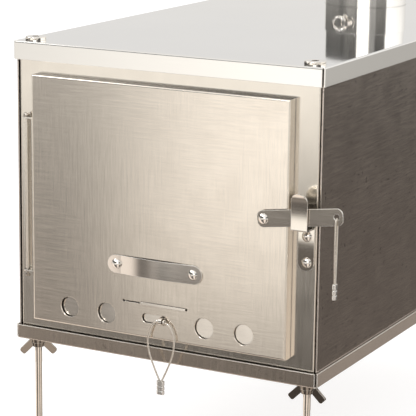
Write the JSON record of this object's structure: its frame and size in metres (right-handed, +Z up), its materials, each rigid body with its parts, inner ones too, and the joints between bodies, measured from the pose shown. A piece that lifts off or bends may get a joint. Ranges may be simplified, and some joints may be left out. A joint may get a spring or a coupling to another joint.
{
  "type": "wood-fired box kiln",
  "caption": "Knock-down sheet-steel box kiln on long rod legs, with a hinged pan door, sliding air control, strap latch, flue collar and damper.",
  "frame": {"origin": "on the ground, midway between the four leg ends", "axes": "+X right, +Y from the door to the back, +Z up; the door faces -Y"},
  "size_m": [0.3183, 0.5075, 0.441],
  "materials": {
    "polished_sheet": "polished sheet, faint grain",
    "tray_sheet": "brushed sheet",
    "brushed_sheet": "brushed sheet",
    "door_sheet": "brushed sheet",
    "slider_sheet": "dull sheet",
    "strap_steel": "polished strip",
    "grate_steel": "dull hot-rolled sheet",
    "pipe_steel": "bright rolled sheet",
    "rod_steel": "bright drawn rod",
    "bright_steel": "polished",
    "nut_steel": "plated, dulled",
    "wire_rope": "twisted strands",
    "ferrule_alloy": "crimped alloy"
  },
  "bodies": {
    "kiln_body": {"base_tray": "tray_sheet", "lid": "polished_sheet", "front_frame": "brushed_sheet", "back_panel": "brushed_sheet", "left_panel": "brushed_sheet", "right_panel": "brushed_sheet", "leg_rod_front_left": "rod_steel", "leg_rod_front_right": "rod_steel", "leg_rod_rear_left": "rod_steel", "leg_rod_rear_right": "rod_steel", "tray_washers": "bright_steel", "grate_bars": "grate_steel", "grate_rails": "grate_steel", "flue_collar": "pipe_steel", "hinge_pin": "bright_steel", "hinge_leaf": "brushed_sheet", "catch_hook": "strap_steel", "catch_rivets": "bright_steel"},
    "door": {"door_panel": "door_sheet", "hinge_bracket": "brushed_sheet", "hinge_rivets": "bright_steel", "grip_strip": "strap_steel", "grip_rivets": "bright_steel", "upper_slider_guide": "brushed_sheet", "lower_slider_guide": "brushed_sheet", "latch_rivet": "bright_steel", "latch_spacer": "bright_steel"},
    "slider": {"air_slider": "slider_sheet"},
    "slider_pull": {"slider_pull_wire": "wire_rope", "slider_pull_ferrule": "ferrule_alloy"},
    "latch": {"latch_strap": "strap_steel"},
    "latch_pull": {"latch_pull_wire": "wire_rope", "latch_pull_ferrule": "ferrule_alloy"},
    "damper": {"damper_plate": "slider_sheet", "damper_spindle": "bright_steel", "damper_clips": "brushed_sheet", "damper_washers": "bright_steel", "damper_ring": "bright_steel"},
    "nut_front_left": {"wing_nut_front_left": "nut_steel"},
    "nut_front_right": {"wing_nut_front_right": "nut_steel"},
    "nut_rear_left": {"wing_nut_rear_left": "nut_steel"},
    "nut_rear_right": {"wing_nut_rear_right": "nut_steel"}
  },
  "joints": [
    {"name": "door_swing", "type": "hinge", "parent": "kiln_body", "child": "door", "pos_m": [-0.1326, -0.2465, 0.252], "axis": [0, 0, -1], "range_deg": [0, 160]},
    {"name": "air_slide", "type": "slide", "parent": "door", "child": "slider", "axis": [-1, 0, 0], "range_m": [0, 0.017]},
    {"name": "slider_pull_swing", "type": "hinge", "parent": "slider", "child": "slider_pull", "pos_m": [0.006, -0.2545, 0.1595], "axis": [-1, 0, 0], "range_deg": [0, 80]},
    {"name": "latch_lift", "type": "hinge", "parent": "door", "child": "latch", "pos_m": [0.1006, -0.2543, 0.2603], "axis": [0, -1, 0], "range_deg": [0, 100]},
    {"name": "latch_pull_swing", "type": "hinge", "parent": "latch", "child": "latch_pull", "pos_m": [0.1653, -0.2543, 0.26916], "axis": [0, -1, 0], "range_deg": [-40, 0]},
    {"name": "damper_turn", "type": "hinge", "parent": "kiln_body", "child": "damper", "pos_m": [0, 0.176, 0.402], "axis": [0, 1, 0], "range_deg": [0, 90]},
    {"name": "nut_front_left_turn", "type": "hinge", "parent": "kiln_body", "child": "nut_front_left", "pos_m": [-0.1324, -0.231, 0.112], "axis": [0, 0, 1], "continuous": true},
    {"name": "nut_front_right_turn", "type": "hinge", "parent": "kiln_body", "child": "nut_front_right", "pos_m": [0.1324, -0.231, 0.112], "axis": [0, 0, 1], "continuous": true},
    {"name": "nut_rear_left_turn", "type": "hinge", "parent": "kiln_body", "child": "nut_rear_left", "pos_m": [-0.1324, 0.231, 0.112], "axis": [0, 0, 1], "continuous": true},
    {"name": "nut_rear_right_turn", "type": "hinge", "parent": "kiln_body", "child": "nut_rear_right", "pos_m": [0.1324, 0.231, 0.112], "axis": [0, 0, 1], "continuous": true}
  ],
  "couplings": [
    {"joint": "latch_pull_swing", "follows": "latch_lift", "ratio": -0.4}
  ]
}
